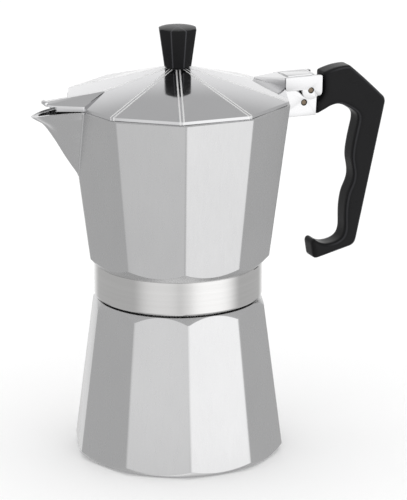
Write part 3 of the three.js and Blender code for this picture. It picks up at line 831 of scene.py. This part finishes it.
def makeKnob():
    knob = {"low": (6.2, 185.2), "high": (8.7, 203.6), "edge": 0.35, "socket": 3.3}
    corner = 1 / math.cos(math.pi / pot["knobSides"])
    top = knob["high"][1]
    plug = facetedPyramid("knob_moulding", pot["knobSides"], (knob["low"][0] * corner, knob["low"][1]),
                          (knob["high"][0] * corner, top), pot["knobTurn"], knob["edge"], 3)
    rounding = turned("rounding", [
        (0, 180), (12, 180), (12, top - 2.0), (8.4, top - 0.55), (6.6, top - 0.2), (4.0, top - 0.04),
        (0, top)], 96)
    combine(plug, rounding, "INTERSECT")
    roundEdges(plug, 0.25, 2, 35)
    socket = turned("socket", [(0, 180), (knob["socket"], 180), (knob["socket"], 195), (0, 195)], 48)
    combine(plug, socket, "DIFFERENCE")
    shade(plug, 25)
    finished(plug, "lid_body", "black_plastic", finishes["knob"], "knob")
    foot = turned("knob_foot", [
        (1.9, 184.5), (5.5, 184.5), (5.6, 184.6), (5.6, 184.95), (5.4, 185.1), (1.9, 185.1)], 64)
    shade(foot, 40)
    finished(foot, "lid_body", "black_plastic", finishes["black"], "knob_washer")


makeKnob()


def arc(x, z, radius, start, end, steps):
    turns = [math.radians(start + (end - start) * i / steps) for i in range(steps + 1)]
    return [(x + radius * math.cos(a), z + radius * math.sin(a)) for a in turns]


def bent(outline, *controls, steps=8):
    # carries an outline on along a Bezier curve with one or two control points
    start = outline[-1]
    hold = (start,) + controls
    for i in range(1, steps + 1):
        t = i / steps
        degree = len(hold) - 1
        weights = [math.comb(degree, k) * t ** k * (1 - t) ** (degree - k) for k in range(degree + 1)]
        outline.append(tuple(sum(w * point[axis] for w, point in zip(weights, hold)) for axis in (0, 1)))


def makeHandle():
    handle = {"half": 5.75, "front": 68.9, "relief": 8.0, "tangHalf": 3.3, "lug": 4.4, "hole": 1.5,
              "grain": 0.42, "round": 2.3}
    hinge = (pot["hingeX"], pot["hingeZ"])
    meets = -math.degrees(math.acos((handle["front"] - hinge[0]) / handle["relief"]))
    outline = [(handle["front"], 156.4)]
    outline += arc(*hinge, handle["relief"], meets, 8, 14)
    outline.append((72.6, 176.2))
    bent(outline, (80, 179), (86.2, 178.5))
    bent(outline, (95.2, 170.8), (104, 162))
    bent(outline, (105.2, 160.4), (104.5, 158))
    outline.append((90.4, 93.4))
    bent(outline, (89.8, 90.4), (87.1, 89.7))
    outline.append((70, 85.6))
    bent(outline, (68.2, 85.3), (67.8, 87))
    outline.append((66.9, 92.8))
    bent(outline, (66.9, 95), (68.9, 95.1))
    bent(outline, (71.4, 92.6), (75, 92.3))
    bent(outline, (80.4, 92.2), (82.9, 94.8))
    bent(outline, (84.8, 97.4), (84.2, 101), (84.2, 104.2))
    bent(outline, (84.2, 108), (84.4, 111), (85.1, 114.1))
    bent(outline, (85.9, 118.4), (88.4, 120.6), (88.5, 124.6))
    bent(outline, (88.6, 128.2), (87.2, 131.2), (87.4, 134.6))
    bent(outline, (87.6, 138.6), (88.8, 143.8), (89.7, 147.6))
    bent(outline, (90.6, 151), (91.4, 154), (88.8, 155.9))
    bent(outline, (85.8, 158), (83, 160.1), (79.6, 160.4))
    bent(outline, (76, 160), (73.9, 158.6))
    grip = slab("handle_moulding", outline, -handle["half"], handle["half"])
    editEdges(grip, lambda edge: abs(edge.verts[0].co.y - edge.verts[1].co.y) < 0.1 * mm)
    bpy.ops.mesh.bevel(offset=handle["round"] * mm, segments=5, affect="EDGES", clamp_overlap=False)
    leaveEdit()
    applyModifier(grip, "REMESH", mode="VOXEL", voxel_size=handle["grain"] * mm)
    applyModifier(grip, "SMOOTH", factor=0.5, iterations=10)
    half = handle["tangHalf"]
    tang = slab("tang", [(57, 157.8), (72, 157.8), (72, 162.8), (68, 162.8), (67.4, 164.6), (57, 164.6)],
                -half, half)
    post = slab("post", [(59.4, 163), (67.4, 163), (67.4, 169), (59.4, 169)], -half, half)
    combine(tang, post, "UNION")
    combine(tang, rod("lug", *hinge, handle["lug"], -half, half, 64), "UNION")
    combine(grip, tang, "UNION")
    combine(grip, rod("hole", *hinge, handle["hole"], -20, 20), "DIFFERENCE")
    combine(grip, rod("hole", pot["pinX"], pot["pinZ"], handle["hole"], -20, 20), "DIFFERENCE")
    shade(grip, 35)
    finished(grip, "upper_body", "black_plastic", finishes["handle"], "handle")


def makePin(name, x, z, reach, node):
    pin = rod(name, x, z, pot["pinRadius"], -reach, reach)
    roundEdges(pin, 0.2, 2, 40)
    shade(pin, 35)
    finished(pin, "upper_body", "pin_steel", finishes["pin"], node)


makeHandle()
makePin("handle_rivet", pot["pinX"], pot["pinZ"], 5.6, "handle_pin")
makePin("hinge_rod", pot["hingeX"], pot["hingeZ"], 7.0, "hinge_pin")


for name, look in {
    "funnel": "sheet", "funnel_sieve": "sheet", "filter_plate": "sheet", "gasket": "seal",
    "valve_washer": "seal", "valve_body": "brass", "valve_stem": "brass", "valve_cap": "brass",
    "knob_insert": "brass", "valve_spring": "pin", "knob_screw": "pin", "column": "satin",
}.items():
    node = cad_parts[name]
    node.data.materials.clear()
    node.data.materials.append(finishes[look])
print("inner nodes dressed")
